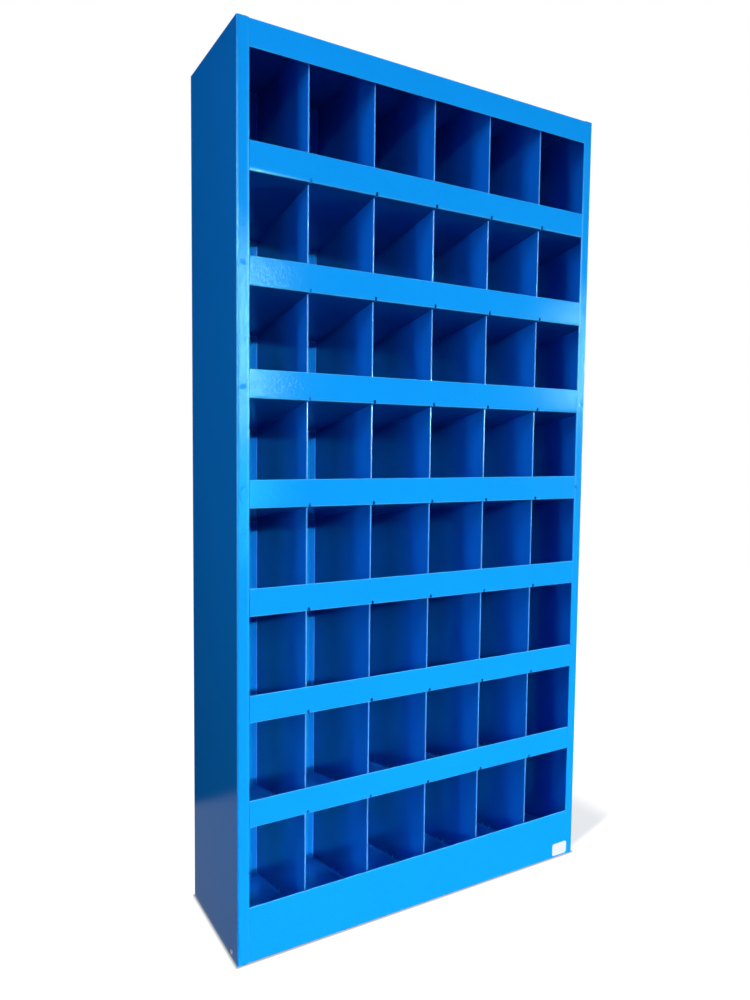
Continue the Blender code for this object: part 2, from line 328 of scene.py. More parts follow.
def coat_inside(panel, sign, paint):
    """The inner face of a side panel takes the dividers' coat: darker as painted shade inside the bins, with
    painted shade deep in.
    """
    panel.data.materials.append(paint)
    for face in panel.data.polygons:
        if sign * face.normal.x < -0.9 and face.center.y > BEHIND_STILE:
            face.material_index = 1


def copy_of(piece, name, move):
    """A copy with its own mesh, moved inside that mesh."""
    twin = piece.copy()
    twin.data = piece.data.copy()
    twin.name = name
    twin.data.name = name
    bpy.context.collection.objects.link(twin)
    twin.data.transform(Matrix.Translation(move))
    return twin


# Shader node helpers

def add_node(tree, kind, inputs=None, **settings):
    """New node with its settings; an input that is a socket is linked, any other is set."""
    made = tree.nodes.new(kind)
    for key, value in settings.items():
        setattr(made, key, value)
    for socket, value in (inputs or {}).items():
        if isinstance(value, bpy.types.NodeSocket):
            tree.links.new(value, made.inputs[socket])
        else:
            made.inputs[socket].default_value = value
    return made


def new_group(name, inputs, outputs):
    """Empty node group with number inputs, number outputs and its two end nodes."""
    group = bpy.data.node_groups.new(name, "ShaderNodeTree")
    for socket, value in inputs.items():
        made = group.interface.new_socket(name=socket, in_out="INPUT", socket_type="NodeSocketFloat")
        made.default_value = value
    for socket in outputs:
        group.interface.new_socket(name=socket, in_out="OUTPUT", socket_type="NodeSocketFloat")
    return group, add_node(group, "NodeGroupInput"), add_node(group, "NodeGroupOutput")


def object_place(tree):
    return add_node(tree, "ShaderNodeTexCoord").outputs["Object"]


def surface_normal(tree):
    return add_node(tree, "ShaderNodeNewGeometry").outputs["Normal"]


def apart(tree, vector):
    """The X, Y and Z of a vector, as three outputs."""
    return add_node(tree, "ShaderNodeSeparateXYZ", {"Vector": vector}).outputs


def noise(tree, place, scale, detail=2.0, roughness=0.5):
    settings = {"Vector": place, "Scale": scale, "Detail": detail, "Roughness": roughness}
    return add_node(tree, "ShaderNodeTexNoise", settings).outputs["Fac"]


def calc(tree, operation, first, second=0.5, third=0.5, clamp=False):
    values = {0: first, 1: second, 2: third}
    return add_node(tree, "ShaderNodeMath", values, operation=operation, use_clamp=clamp).outputs[0]


def vector_calc(tree, operation, first, second=(0.0, 0.0, 0.0)):
    made = add_node(tree, "ShaderNodeVectorMath", {0: first, 1: second}, operation=operation)
    return made.outputs["Value" if operation in ("LENGTH", "DOT_PRODUCT") else "Vector"]


def ramp(tree, value, low, high):
    """0 below low, 1 above high, eased between."""
    made = add_node(tree, "ShaderNodeMapRange", {"Value": value, "From Min": low, "From Max": high},
                    interpolation_type="SMOOTHSTEP")
    return made.outputs["Result"]


def broken_up(group, place, scale, amount):
    """Slow patches that take up to an amount away from an effect."""
    patches = ramp(group, noise(group, place, scale, detail=3.0, roughness=0.6), low=0.3, high=0.7)
    return calc(group, "SUBTRACT", 1.0, calc(group, "MULTIPLY", patches, amount))


def use_group(tree, group, **values):
    """Place a shared effect in a material, with its own values."""
    inputs = {key.replace("_", " "): value for key, value in values.items()}
    return add_node(tree, "ShaderNodeGroup", inputs, node_tree=group)


def blend(tree, mask, first, second):
    """Mix two colours by a mask."""
    made = add_node(tree, "ShaderNodeMix", {"Factor": mask}, data_type="RGBA")
    for socket, value in (("A", first), ("B", second)):
        target = next(i for i in made.inputs if i.name == socket and i.type == "RGBA")
        if isinstance(value, bpy.types.NodeSocket):
            tree.links.new(value, target)
        else:
            target.default_value = (*value, 1.0)
    return next(o for o in made.outputs if o.type == "RGBA")


# Effects that the finishes share

def orange_peel_group():
    """The pebbled skin of powder coat, with slow waves of the thin sheet under it."""
    group, given, result = new_group(
        "orange_peel",
        {"Pebbles per Metre": 240.0, "Pebble Depth": 0.5, "Waves per Metre": 9.0, "Wave Depth": 1.0},
        ("Height", "Gloss Drift"))
    place = object_place(group)
    fine = calc(group, "MULTIPLY", given.outputs["Pebbles per Metre"], 2.6)
    pebbles = noise(group, place, given.outputs["Pebbles per Metre"], detail=0.0, roughness=0.45)
    grains = noise(group, place, fine, detail=0.0, roughness=0.45)
    waves = noise(group, place, given.outputs["Waves per Metre"], detail=1.0, roughness=0.4)
    rough_skin = calc(group, "ADD", pebbles, calc(group, "MULTIPLY", grains, 0.22))
    skin = calc(group, "MULTIPLY", rough_skin, given.outputs["Pebble Depth"])
    swell = calc(group, "MULTIPLY", waves, given.outputs["Wave Depth"])
    drift = noise(group, place, scale=14.0, detail=3.0, roughness=0.6)
    group.links.new(calc(group, "ADD", skin, swell), result.inputs["Height"])
    group.links.new(drift, result.inputs["Gloss Drift"])
    return group


def edge_band_group():
    """Mask along folds and cut edges: a painted highlight on the blue coats, a darker edge on the label."""
    group, given, result = new_group("edge_band_mask", {"Reach": 0.0012, "Breakup": 0.35}, ("Mask",))
    rounded = add_node(group, "ShaderNodeBevel", {"Radius": given.outputs["Reach"]}, samples=4)
    turn = vector_calc(group, "DOT_PRODUCT", rounded.outputs["Normal"], surface_normal(group))
    edge = ramp(group, calc(group, "SUBTRACT", 1.0, turn), low=0.02, high=0.22)
    kept = broken_up(group, object_place(group), 60.0, given.outputs["Breakup"])
    group.links.new(calc(group, "MULTIPLY", edge, kept, clamp=True), result.inputs["Mask"])
    return group


def fold_highlight_group():
    """Painted highlights on the hems and folds, read from the piece's own marks."""
    group, given, result = new_group(
        "painted_fold_highlights", {"Amount": 1.0, "Breakup": 0.3}, ("Mask", "Brighter", "Whitest"))
    marks = add_node(group, "ShaderNodeAttribute", attribute_name="painted_highlight").outputs["Fac"]
    kept = broken_up(group, object_place(group), 35.0, given.outputs["Breakup"])
    worn = calc(group, "MULTIPLY", calc(group, "MULTIPLY", marks, kept), given.outputs["Amount"])
    group.links.new(calc(group, "MINIMUM", worn, 1.0), result.inputs["Mask"])
    group.links.new(calc(group, "SUBTRACT", worn, 1.0, clamp=True), result.inputs["Brighter"])
    group.links.new(calc(group, "SUBTRACT", worn, 2.0, clamp=True), result.inputs["Whitest"])
    return group


def settled_dust_group():
    """Fine dust on faces that look up, thicker in drifts."""
    group, given, result = new_group("settled_dust", {"Amount": 0.3}, ("Mask",))
    level = ramp(group, apart(group, surface_normal(group))["Z"], low=0.55, high=0.95)
    cloud = noise(group, object_place(group), scale=22.0, detail=5.0, roughness=0.65)
    dusty = calc(group, "MULTIPLY", level, ramp(group, cloud, low=0.35, high=0.75))
    mask = calc(group, "MULTIPLY", dusty, given.outputs["Amount"], clamp=True)
    group.links.new(mask, result.inputs["Mask"])
    return group


def painted_shade_group():
    """Painted shade on undersides and deep in the bins, a darker blue laid into the coat's colour."""
    group, given, result = new_group("painted_shade_under_and_deep", {"Amount": 0.8, "Inside": 0.0}, ("Mask",))
    facing = apart(group, surface_normal(group))
    behind = apart(group, object_place(group))["Y"]
    under = ramp(group, calc(group, "MULTIPLY", facing["Z"], -1.0), low=0.5, high=0.9)
    sideways = ramp(group, calc(group, "ABSOLUTE", facing["X"]), low=0.5, high=0.9)
    depth = ramp(group, behind, low=FRONT + SHADE_DEPTH_START, high=FRONT + SHADE_DEPTH_END)
    deep = calc(group, "MULTIPLY", calc(group, "MULTIPLY", sideways, depth), given.outputs["Inside"])
    below = calc(group, "MULTIPLY", under, given.outputs["Amount"])
    group.links.new(calc(group, "MAXIMUM", below, deep, clamp=True), result.inputs["Mask"])
    return group


def handling_scuff_group():
    """Hairline scuffs from parts and hands, in short slanting strokes."""
    group, given, result = new_group("handling_scuffs", {"Amount": 0.25, "Slant": 0.5}, ("Mask",))
    place = object_place(group)
    slant = add_node(group, "ShaderNodeCombineXYZ",
                     {"X": given.outputs["Slant"], "Y": given.outputs["Slant"]}).outputs[0]
    turned = add_node(group, "ShaderNodeMapping",
                      {"Vector": place, "Rotation": slant, "Scale": (70.0, 70.0, 900.0)}).outputs[0]
    strokes = ramp(group, noise(group, turned, scale=1.0), low=0.66, high=0.74)
    areas = ramp(group, noise(group, place, scale=7.0), low=0.52, high=0.72)
    scuffed = calc(group, "MULTIPLY", strokes, areas)
    mask = calc(group, "MULTIPLY", scuffed, given.outputs["Amount"], clamp=True)
    group.links.new(mask, result.inputs["Mask"])
    return group


def tone_drift_group():
    """Slow drift of the coat's tone from one batch of spray to the next."""
    group, given, result = new_group("tone_drift", {"Patches per Metre": 3.0}, ("Tone",))
    slow = noise(group, object_place(group), given.outputs["Patches per Metre"], detail=4.0, roughness=0.55)
    group.links.new(ramp(group, slow, low=0.3, high=0.7), result.inputs["Tone"])
    return group


ORANGE_PEEL = orange_peel_group()
EDGE_BAND = edge_band_group()
FOLD_HIGHLIGHTS = fold_highlight_group()
SETTLED_DUST = settled_dust_group()
PAINTED_SHADE = painted_shade_group()
HANDLING_SCUFFS = handling_scuff_group()
TONE_DRIFT = tone_drift_group()


# Finishes

def new_material(name):
    material = bpy.data.materials.new(name)
    material.use_nodes = True
    tree = material.node_tree
    return material, tree, tree.nodes["Principled BSDF"]


def raise_skin(tree, shader, skin, strength, relief):
    """Let the pebbled skin tilt the shader's normal."""
    bump = add_node(tree, "ShaderNodeBump",
                    {"Height": skin.outputs["Height"], "Strength": strength, "Distance": relief})
    tree.links.new(bump.outputs["Normal"], shader.inputs["Normal"])


def powder_coat(name, colour, deep, edge_highlight, painted_highlight, roughness, peel, inside=0.0):
    """Gloss powder coat on folded steel: tone, painted shade under and deep in, painted highlights on edges
    and folds, scuffs, dust and orange peel.
    """
    material, tree, shader = new_material(name)
    tone = use_group(tree, TONE_DRIFT, Patches_per_Metre=3.0)
    edges = use_group(tree, EDGE_BAND, Reach=0.0012, Breakup=0.4)
    painted_shade_mask = use_group(tree, PAINTED_SHADE, Amount=0.85, Inside=inside)
    folds = use_group(tree, FOLD_HIGHLIGHTS, Amount=1.0, Breakup=0.3)
    dusty = use_group(tree, SETTLED_DUST, Amount=0.07)
    scuff = use_group(tree, HANDLING_SCUFFS, Amount=0.05, Slant=0.5)
    skin = use_group(tree, ORANGE_PEEL, Pebbles_per_Metre=280.0, Pebble_Depth=peel, Waves_per_Metre=9.0,
                     Wave_Depth=1.0)
    coat = blend(tree, tone.outputs["Tone"], colour, deep)
    # Painted shade laid into the colour under things and deep in the bins.
    coat = blend(tree, painted_shade_mask.outputs["Mask"], coat, UNDER_SHADE_BLUE)
    # Painted highlight along folds and cut edges.
    coat = blend(tree, edges.outputs["Mask"], coat, edge_highlight)
    # Painted highlights on the marked hems and folds, paler, brighter and nearly white.
    coat = blend(tree, folds.outputs["Mask"], coat, painted_highlight)
    coat = blend(tree, folds.outputs["Brighter"], coat, HIGHLIGHT_BLUE)
    coat = blend(tree, folds.outputs["Whitest"], coat, HIGHLIGHT_WHITE)
    coat = blend(tree, scuff.outputs["Mask"], coat, SCUFF_BLUE)
    coat = blend(tree, dusty.outputs["Mask"], coat, DUST_GREY)
    tree.links.new(coat, shader.inputs["Base Color"])
    rough = calc(tree, "MULTIPLY_ADD", skin.outputs["Gloss Drift"], COAT_ROUGHNESS_DRIFT,
                 roughness - COAT_ROUGHNESS_DRIFT / 2)
    rough = calc(tree, "MULTIPLY_ADD", dusty.outputs["Mask"], DUST_DULLING, rough)
    rough = calc(tree, "MULTIPLY_ADD", scuff.outputs["Mask"], SCUFF_DULLING, rough, clamp=True)
    tree.links.new(rough, shader.inputs["Roughness"])
    raise_skin(tree, shader, skin, 1.0, COAT_RELIEF)
    shader.inputs["Specular IOR Level"].default_value = 0.5
    shader.inputs["Specular Tint"].default_value = COAT_SHEEN
    return material


def rivet_metal(name):
    """Zinc-plated steel of a blind rivet, dull and finely scratched."""
    material, tree, shader = new_material(name)
    tone = use_group(tree, TONE_DRIFT, Patches_per_Metre=400.0)
    scuff = use_group(tree, HANDLING_SCUFFS, Amount=0.8, Slant=1.2)
    zinc = blend(tree, tone.outputs["Tone"], (0.90, 0.88, 0.92), (0.78, 0.77, 0.81))
    zinc = blend(tree, scuff.outputs["Mask"], zinc, (0.95, 0.94, 0.96))
    tree.links.new(zinc, shader.inputs["Base Color"])
    rough = calc(tree, "MULTIPLY_ADD", tone.outputs["Tone"], 0.18, 0.26)
    tree.links.new(rough, shader.inputs["Roughness"])
    shader.inputs["Metallic"].default_value = 1.0
    return material


def label_film(name):
    """White self-adhesive film with a faint grain, darker at its edge."""
    material, tree, shader = new_material(name)
    edges = use_group(tree, EDGE_BAND, Reach=0.0006, Breakup=0.6)
    skin = use_group(tree, ORANGE_PEEL, Pebbles_per_Metre=900.0, Pebble_Depth=0.15, Waves_per_Metre=60.0,
                     Wave_Depth=0.2)
    tone = use_group(tree, TONE_DRIFT, Patches_per_Metre=60.0)
    film = blend(tree, tone.outputs["Tone"], (0.66, 0.72, 0.76), (0.62, 0.68, 0.73))
    film = blend(tree, edges.outputs["Mask"], film, (0.46, 0.52, 0.60))
    tree.links.new(film, shader.inputs["Base Color"])
    rough = calc(tree, "MULTIPLY_ADD", skin.outputs["Gloss Drift"], 0.15, 0.35)
    tree.links.new(rough, shader.inputs["Roughness"])
    raise_skin(tree, shader, skin, 0.5, FILM_RELIEF)
    return material


FRAME_PAINT = powder_coat(
    "frame_powder_coat", colour=(0.0046, 0.328, 0.920), deep=(0.0042, 0.313, 0.890),
    edge_highlight=(0.035, 0.41, 0.95), painted_highlight=(0.06, 0.48, 0.97), roughness=0.13, peel=0.65)
SHELF_PAINT = powder_coat(
    "shelf_powder_coat", colour=(0.0046, 0.331, 0.925), deep=(0.0042, 0.316, 0.895),
    edge_highlight=(0.035, 0.41, 0.95), painted_highlight=(0.06, 0.48, 0.97), roughness=0.13, peel=0.70)
# The dividers' coat is laid darker than the frame's as painted shade inside the bins, and its inside value
# adds painted shade deep in them.
DIVIDER_PAINT = powder_coat(
    "divider_powder_coat", colour=(0.0038, 0.255, 0.880), deep=(0.0034, 0.243, 0.855),
    edge_highlight=(0.05, 0.41, 0.96), painted_highlight=(0.10, 0.43, 0.98), roughness=0.16, peel=0.4, inside=0.9)
RIVET_METAL = rivet_metal("zinc_rivet")
LABEL_FILM = label_film("white_label_film")


# Folded pieces

def weld_dents(places, sign):
    """Press shallow spot-weld dents into the stile's face: slices first, then the points sink."""
    steps = [step * DENT_SLICE for step in range(-DENT_SLICES, DENT_SLICES + 1)]
    for x, z, _ in places:
        slice_x(*(sign * x + step for step in steps))
        slice_z(*(z + step for step in steps))
    cage = bmesh.from_edit_mesh(bpy.context.object.data)
    for corner in cage.verts:
        if not near(corner.co.y, FRONT):
            continue
        for x, z, depth in places:
            ring = hypot(corner.co.x - sign * x, corner.co.z - z) / DENT_RADIUS
            if ring < DENT_RADII_REACHED:
                corner.co.y += depth * (1.0 - DENT_RIM * ring ** 2) * exp(-ring ** 2)
    bmesh.update_edit_mesh(bpy.context.object.data)


def side_panel(name, sign):
    """Web, hemmed front stile with weld dents, and rear flange."""
    panel = start_sheet(name, (sign * HALF_WIDTH, 0, TOP / 2), TOP, REAR - FRONT, (0, -sign * pi / 2, 0))
    edge = sign * OPENING_HALF
    fold(lambda m, e: near(m.y, FRONT), (-sign * STILE, 0, 0), (0, HEM, 0), (sign * HEM_LEG, 0, 0))
    fold(lambda m, e: near(m.y, REAR), (-sign * SIDE_REAR_FLANGE, 0, 0))
    round_folds(HEM / 2, lambda m, e: near(m.x, edge))
    round_folds(STILE_BEND, lambda m, e: near(abs(m.x), HALF_WIDTH) and near(m.y, FRONT))
    round_folds(FOLD_RADIUS, lambda m, e: near(abs(m.x), HALF_WIDTH) and near(m.y, REAR))
    slice_z(PLINTH_TOP + FIT, FASCIA_LOW - FIT)

    def hem_end(m, f):
        outside = m.z < PLINTH_TOP + FIT or m.z > FASCIA_LOW - FIT
        on_hem = FRONT + TINY < m.y < FRONT + HEM + TINY and abs(m.x) < OPENING_HALF + HEM_LEG
        return outside and on_hem
    drop_faces(hem_end)
    middle = OPENING_HALF + STILE / 2
    weld_dents([(middle, bend + height, depth) for bend, (height, depth) in zip(BENDS, DENTS)], sign)
    thicken(panel)

    # Painted highlights on the stile's hem, its inner face strip and outer bend, strongest about one height.
    def highlight_level(point):
        span = HIGHLIGHT_SPAN_ABOVE if point.z > HIGHLIGHT_HEIGHT else HIGHLIGHT_SPAN_BELOW
        highlight_bell = exp(-((point.z - HIGHLIGHT_HEIGHT) / span) ** 2)
        if abs(point.x) < OPENING_HALF + HEM * 0.6 and point.y < FRONT + HEM:
            return STILE_HEM_LEAST + STILE_HIGHLIGHT * highlight_bell
        if abs(point.x) < OPENING_HALF + STILE_FACE_STRIP and near(point.y, FRONT):
            return STILE_HEM_LEAST + STILE_FACE_HIGHLIGHT * highlight_bell
        on_bend = abs(point.x) > HALF_WIDTH - STILE_BEND * 0.8 and point.y < FRONT + STILE_BEND * 0.8
        return STILE_BEND_LEAST + STILE_HIGHLIGHT * highlight_bell if on_bend else 0.0
    mark_painted_highlights(panel, highlight_level)
    return panel


def cut_corners(seam):
    """Take the front leg away where the stiles stand and square the sheet off behind them."""
    slice_x(-seam, seam)
    slice_y(BEHIND_STILE)
    drop_faces(lambda m, f: abs(m.x) > seam and m.y < BEHIND_STILE)


def end_ears(rise, inside):
    """Ears at both ends of the sheet, turned up or down behind the stiles."""
    low, high = OPENING_HALF + EAR_GAP, inside - EAR_INSET
    slice_x(-high, -low, low, high)
    fold(lambda m, e: near(m.y, BEHIND_STILE) and along_x(e) and low < abs(m.x) < high, (0, 0, rise))


def top_panel():
    """Top sheet with a hemmed fascia in front, a rear flange and end ears."""
    box_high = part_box("top_panel")[1]
    inside = box_high.x
    depth = box_high.y - FRONT
    panel = start_sheet("folded_top", (0, FRONT + depth / 2, TOP), 2 * inside, depth, (pi, 0, 0))
    fold(lambda m, e: near(m.y, FRONT), (0, 0, FASCIA_LOW - TOP), (0, HEM, 0), (0, 0, HEM_LEG))
    fold(lambda m, e: near(m.y, box_high.y), (0, 0, -SHELF_FLANGE))
    round_folds(HEM / 2, lambda m, e: near(m.z, FASCIA_LOW) and along_x(e))
    round_folds(FOLD_RADIUS, lambda m, e: near(m.z, TOP) and along_x(e))
    cut_corners(OPENING_HALF + HEM / 2 - FIT)
    end_ears(-EAR, inside)
    thicken(panel)
    # Painted highlight along the fascia's lower hem.
    mark_painted_highlights(panel, lambda point: FASCIA_HIGHLIGHT if point.z < FASCIA_LOW + HEM / 3 else 0.0)
    return panel


def plinth():
    """Kick face with a hemmed top edge and a foot flange turned back."""
    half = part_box("plinth")[1].x
    face = start_sheet("folded_plinth", (0, FRONT, PLINTH_TOP / 2), 2 * half, PLINTH_TOP, (-pi / 2, 0, 0))
    fold(lambda m, e: near(m.z, PLINTH_TOP), (0, HEM, 0), (0, 0, -HEM_LEG))
    fold(lambda m, e: near(m.z, 0), (0, PLINTH_FOOT - FRONT, 0))
    round_folds(HEM / 2, lambda m, e: near(m.z, PLINTH_TOP) and along_x(e))
    round_folds(FOLD_RADIUS, lambda m, e: near(m.z, 0) and near(m.y, FRONT))
    thicken(face)
    # Painted highlight along the plinth's top hem.
    mark_painted_highlights(face, lambda point: PALE_HIGHLIGHT if point.z > PLINTH_TOP - HEM / 3 else 0.0)
    return face


def back_panel():
    """One flat sheet behind the bins."""
    low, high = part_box("back_panel")
    sheet = start_sheet("back_sheet", (0, low.y, TOP / 2), high.x - low.x, TOP, (-pi / 2, 0, 0))
    bpy.ops.mesh.subdivide(number_cuts=BACK_CUTS)
    thicken(sheet)
    return sheet


def slot_cuts(bend, slit_end):
    """A slit in the lip's fold, and a hole and a slot in the floor for each divider's two tabs."""
    hole = DIVIDER_HEM / 2 + TAB_PLAY
    slot = SHEET / 2 + TAB_PLAY
    hole_low, hole_high = DIVIDER_FRONT - TAB_PLAY, FRONT_TAB_END + TAB_PLAY
    tab_low, tab_high = TAB_MIDDLE - TAB_HALF - TAB_PLAY, TAB_MIDDLE + TAB_HALF + TAB_PLAY
    for x in COLUMNS:
        slice_x(x - hole, x + hole)
        slice_x(x - WEB_OFFSET - slot, x - WEB_OFFSET + slot)
        slice_x(x - SLIT_HALF, x + SLIT_HALF)
    slice_y(slit_end, hole_low, hole_high, tab_low, tab_high)
    slice_z(bend + NOTCH_RISE)

    def in_cut(m, f):
        for x in COLUMNS:
            if abs(m.x - x) < SLIT_HALF and m.y < slit_end and m.z < bend + NOTCH_RISE:
                return True
            if abs(m.x - x) < hole and hole_low < m.y < hole_high and m.z < bend + NOTCH_RISE:
                return True
            if abs(m.x - x + WEB_OFFSET) < slot and tab_low < m.y < tab_high:
                return True
        return False
    drop_faces(in_cut)


def sloped_floor(name, bend, front, inside):
    """The sloping floor of a shelf, from a front line to the rear flange's fold."""
    run = FLANGE_FRONT - front
    rise = bend - SLOPE * (front - FRONT)
    centre = (0, (front + FLANGE_FRONT) / 2, rise - SLOPE * run / 2)
    return start_sheet(name, centre, 2 * inside, hypot(run, SLOPE * run), (-atan(SLOPE), 0, 0)), rise


def on_rear_fold(point, bend):
    return point.y > FLANGE_FRONT - BEND_INSIDE / 2 and point.z > bend - SHELF_DROP - BEND_INSIDE


def lipped_shelf():
    """The top shelf: sloping floor, hemmed lip, rear flange, ears, slits and slots."""
    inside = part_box("shelf_1")[1].x
    bend = BENDS[0]
    shelf, _ = sloped_floor("folded_shelf_1", bend, FRONT, inside)
    fold(lambda m, e: near(m.y, FRONT), (0, 0, LIP), (0, HEM, 0), (0, 0, -HEM_LEG))
    fold(lambda m, e: near(m.y, FLANGE_FRONT), (0, 0, -SHELF_FLANGE))
    round_folds(HEM / 2, lambda m, e: near(m.z, bend + LIP) and along_x(e))
    round_folds(FOLD_RADIUS, lambda m, e: near(m.z, bend) and along_x(e))
    round_folds(BEND_INSIDE, lambda m, e: near(m.y, FLANGE_FRONT) and along_x(e))
    cut_corners(OPENING_HALF - LIP_SEAM)
    slot_cuts(bend, FRONT + SLIT_DEPTH)
    end_ears(EAR, inside)
    thicken(shelf)

    # Painted highlights on the lip's top hem, its lower fold and the rear fold.
    def highlight_level(point):
        if point.z > bend + LIP - HEM / 3:
            return PALE_HIGHLIGHT
        if point.y < FRONT + FOLD_RADIUS * 0.8 and point.z < bend + FOLD_RADIUS * 0.8:
            return PALE_HIGHLIGHT
        return REAR_FOLD_HIGHLIGHT if on_rear_fold(point, bend) else 0.0
    mark_painted_highlights(shelf, highlight_level)
    return shelf


def highlight_left_fold(shelf):
    """Brighter painted highlight on the top shelf's lower fold at its left end."""
    for corner, value in zip(shelf.data.vertices, shelf.data.attributes["painted_highlight"].data):
        on_fold = corner.co.y < FRONT + FOLD_RADIUS and corner.co.z < BENDS[0] + FOLD_RADIUS
        if on_fold and corner.co.x < -OPENING_HALF + LEFT_HIGHLIGHT_LENGTH:
            value.value = BRIGHT_HIGHLIGHT


def bottom_shelf():
    """Sloping floor of the bottom row, with a flange behind the plinth."""
    low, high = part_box("bottom_shelf")
    shelf, rise = sloped_floor("folded_bottom_shelf", BOTTOM_BEND, BEHIND_STILE, high.x)
    fold(lambda m, e: near(m.y, BEHIND_STILE), (0, 0, high.z - rise))
    fold(lambda m, e: near(m.y, FLANGE_FRONT), (0, 0, low.z - (BOTTOM_BEND - SHELF_DROP)))
    round_folds(FOLD_RADIUS, lambda m, e: near(m.y, BEHIND_STILE) and near(m.z, rise))
    round_folds(BEND_INSIDE, lambda m, e: near(m.y, FLANGE_FRONT) and along_x(e))
    slot_cuts(BOTTOM_BEND, FRONT)
    thicken(shelf)
    # Painted highlight on the rear fold.
    mark_painted_highlights(shelf, lambda point: REAR_FOLD_HIGHLIGHT if on_rear_fold(point, BOTTOM_BEND) else 0.0)
    return shelf


def divider(name, x, bottom, top_front, sloped):
    """Upright sheet: hemmed front, flanged rear, tabs below, cut to the slope of the shelves."""
    web = x - DIVIDER_HEM / 2
    height = top_front - bottom
    depth = FLANGE_FRONT - DIVIDER_FRONT
    base = bottom - SLOPE * (DIVIDER_FRONT - FRONT)
    roof = base + height if sloped else top_front
    centre = (web, (DIVIDER_FRONT + FLANGE_FRONT) / 2, (base + roof) / 2)
    sheet = start_sheet(name, centre, roof - base, depth, (0, pi / 2, 0))
    cage = bmesh.from_edit_mesh(sheet.data)
    for corner in cage.verts:
        if corner.co.y > 0 and (sloped or corner.co.z < (base + roof) / 2):
            corner.co.z -= SLOPE * depth
    bmesh.update_edit_mesh(sheet.data)

    def upright(edge):
        return abs(edge.verts[0].co.z - edge.verts[1].co.z) > height / 2
    fold(lambda m, e: near(m.y, DIVIDER_FRONT), (DIVIDER_HEM, 0, 0), (0, HEM_LEG, -SLOPE * HEM_LEG))
    fold(lambda m, e: near(m.y, FLANGE_FRONT) and near(m.x, web), (-DIVIDER_FLANGE, 0, 0))
    round_folds(DIVIDER_HEM / 2, lambda m, e: near(m.y, DIVIDER_FRONT) and upright(e))
    round_folds(BEND_INSIDE, lambda m, e: near(m.y, FLANGE_FRONT) and near(m.x, web) and upright(e))
    floor = bottom + SHEET * hypot(1, SLOPE)
    seat = floor + FIT
    tab_low, tab_high = TAB_MIDDLE - TAB_HALF, TAB_MIDDLE + TAB_HALF
    front_tab = FRONT_TAB_END - HEM_LEG / 4
    corner_cut = FLANGE_FRONT - BEND_INSIDE - FIT
    flange_top = top_front - SHELF_DROP - SHELF_FLANGE if sloped else TOP - SHELF_FLANGE - FIT
    slice_slope(seat, seat + RELIEF_HEIGHT)
    slice_y(front_tab, tab_low - RELIEF_WIDTH, tab_low, tab_high, tab_high + RELIEF_WIDTH, corner_cut)
    slice_z(flange_top)

    def trimmed(m, f):
        over_seat = m.z + SLOPE * (m.y - FRONT)
        relief = tab_low - RELIEF_WIDTH < m.y < tab_low or tab_high < m.y < tab_high + RELIEF_WIDTH
        if over_seat < seat and (front_tab < m.y < tab_low or m.y > tab_high):
            return True
        if relief and over_seat < seat + RELIEF_HEIGHT:
            return True
        return m.y > corner_cut and m.z > flange_top
    drop_faces(trimmed)
    thicken(sheet)
    join_to(sheet,
            foot_bead(web, floor, front_tab, corner_cut, -1),
            foot_bead(web + SHEET, floor, front_tab, corner_cut, 1),
            tab_burr(web, floor, tab_low - RELIEF_WIDTH))

    # Painted highlights on the front hem, the foot beads, the tab burrs and the rear bend.
    def highlight_level(point):
        over_seat = point.z + SLOPE * (point.y - FRONT)
        beside = point.x < web - TINY or point.x > web + SHEET + TINY
        if point.y < DIVIDER_FRONT + DIVIDER_HEM / 3:
            return PALE_HIGHLIGHT
        if near(over_seat, floor + BEAD) or (beside and over_seat < floor + BURR_HEIGHT + TINY):
            return DIVIDER_FOOT_HIGHLIGHT if front_tab < point.y < FLANGE_FRONT - DIVIDER_HEM else 0.0
        on_bend = point.y > FLANGE_FRONT - BEND_INSIDE and abs(point.x - web) < BEND_INSIDE * 0.9
        return DIVIDER_FOLD_HIGHLIGHT if on_bend else 0.0
    mark_painted_highlights(sheet, highlight_level)
    return sheet


def wedge(face, reach, low, high, start, end, side):
    """Three-cornered strip against a face, its outer edge drawn down to the floor."""
    bpy.ops.object.select_all(action="DESELECT")
    centre = (face + side * reach / 2, (start + end) / 2, (low + high) / 2)
    bpy.ops.mesh.primitive_cube_add(size=1, location=centre)
    strip = bpy.context.object
    strip.scale = (reach, end - start, high - low)
    bpy.ops.object.transform_apply(location=True, rotation=True, scale=True)
    bpy.ops.object.mode_set(mode="EDIT")
    cage = bmesh.from_edit_mesh(strip.data)
    for corner in cage.verts:
        if side * (corner.co.x - face) > reach / 2:
            corner.co.z = low
        corner.co.z -= SLOPE * (corner.co.y - FRONT)
    bmesh.update_edit_mesh(strip.data)
    bpy.ops.mesh.select_all(action="SELECT")
    bpy.ops.mesh.remove_doubles(threshold=TINY)
    bpy.ops.mesh.normals_make_consistent(inside=False)
    bpy.ops.object.mode_set(mode="OBJECT")
    return strip


def foot_bead(face, floor, start, end, side):
    """Powder built up in the corner between a divider and the floor."""
    return wedge(face, BEAD, floor, floor + BEAD, start, end, side)


def tab_burr(face, floor, place):
    """Small burr that the punch leaves beside a tab."""
    return wedge(face, BURR, floor, floor + BURR_HEIGHT, place - BURR / 2, place + BURR, -1)


# Rivets and label

def round_head(name, radius, height):
    """Flat round rivet head about the origin, facing up."""
    bpy.ops.object.select_all(action="DESELECT")
    bpy.ops.mesh.primitive_cylinder_add(vertices=RIVET_SIDES, radius=radius, depth=height)
    head = bpy.context.object
    head.name = name
    head.data.name = name
    bpy.ops.object.shade_smooth_by_angle(angle=radians(50))
    return head


